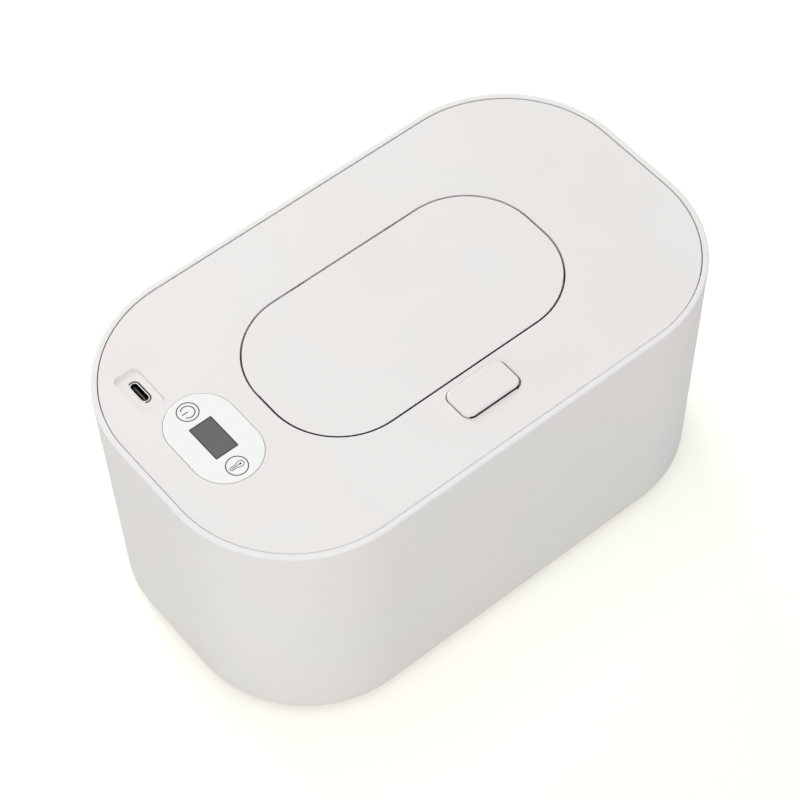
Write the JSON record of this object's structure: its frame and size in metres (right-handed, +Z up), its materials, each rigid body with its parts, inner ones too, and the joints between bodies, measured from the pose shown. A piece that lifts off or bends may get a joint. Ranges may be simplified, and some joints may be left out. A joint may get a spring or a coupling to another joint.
{
  "type": "baby wipe warmer",
  "caption": "Rounded wipe warmer: tapered tub with a wipe tank, and a lift-out lid holding the heating plate, flip-up door, latch button, controls and charging port.",
  "frame": {"origin": "on the floor under the middle of the body", "axes": "+Z up, +X along the length away from the controls, -Y towards the latch button"},
  "size_m": [0.21, 0.126, 0.1023],
  "materials": {
    "shell_white": "satin white ABS",
    "tank_white": "smooth white PP",
    "foam_grey": "closed-cell foam",
    "rubber_grey": "matt rubber",
    "screw_steel": "zinc plated",
    "lid_white": "satin white ABS",
    "cover_white": "white ABS",
    "silicone_clear": "translucent silicone",
    "plate_aluminium": "anodised",
    "film_orange": "polyimide film",
    "epoxy_black": "moulded epoxy",
    "fuse_white": "ceramic body",
    "board_green": "solder mask",
    "connector_cream": "nylon",
    "port_steel": "stamped steel",
    "port_black": "moulded plastic",
    "display_grey": "display module",
    "window_smoke": "smoked acrylic",
    "panel_white": "gloss printed panel",
    "spring_steel": "spring wire"
  },
  "bodies": {
    "shell": {"outer_shell": "shell_white", "inner_tank": "tank_white", "insulation_wrap": "foam_grey", "tank_screws": "screw_steel", "rubber_feet": "rubber_grey"},
    "lid": {"lid_top_cover": "lid_white", "lid_under_cover": "cover_white", "lid_gasket": "silicone_clear", "heating_plate": "plate_aluminium", "heating_film": "film_orange", "thermistor": "epoxy_black", "thermal_fuse": "fuse_white", "main_pcb": "board_green", "controller_chip": "epoxy_black", "film_connector": "connector_cream", "usb_c_shell": "port_steel", "usb_c_tongue": "port_black", "display_module": "display_grey", "display_window": "window_smoke", "control_panel": "panel_white", "touch_springs": "spring_steel", "lid_screws": "screw_steel", "pcb_screws": "screw_steel", "hinge_pin": "spring_steel", "door_spring": "spring_steel", "latch_spring": "spring_steel"},
    "door": {"door_panel": "lid_white", "door_liner": "cover_white", "door_seal": "silicone_clear"},
    "button": {"latch_button": "lid_white"},
    "hook": {"latch_hook": "cover_white"}
  },
  "joints": [
    {"name": "lid_lift", "type": "slide", "parent": "shell", "child": "lid", "axis": [0, 0, 1], "range_m": [0, 0.06]},
    {"name": "door_hinge", "type": "hinge", "parent": "lid", "child": "door", "pos_m": [0, 0.03595, 0.09855], "axis": [-1, 0, 0], "range_deg": [0, 95]},
    {"name": "latch_press", "type": "slide", "parent": "lid", "child": "button", "axis": [0, 0, -1], "range_m": [0, 0.0016], "stiffness_N_per_m": 200, "springref_m": -0.002},
    {"name": "hook_slide", "type": "slide", "parent": "lid", "child": "hook", "axis": [0, -1, 0], "range_m": [0, 0.0016], "deforming": ["latch_spring"]}
  ],
  "couplings": [
    {"joint": "hook_slide", "follows": "latch_press", "ratio": 1}
  ]
}
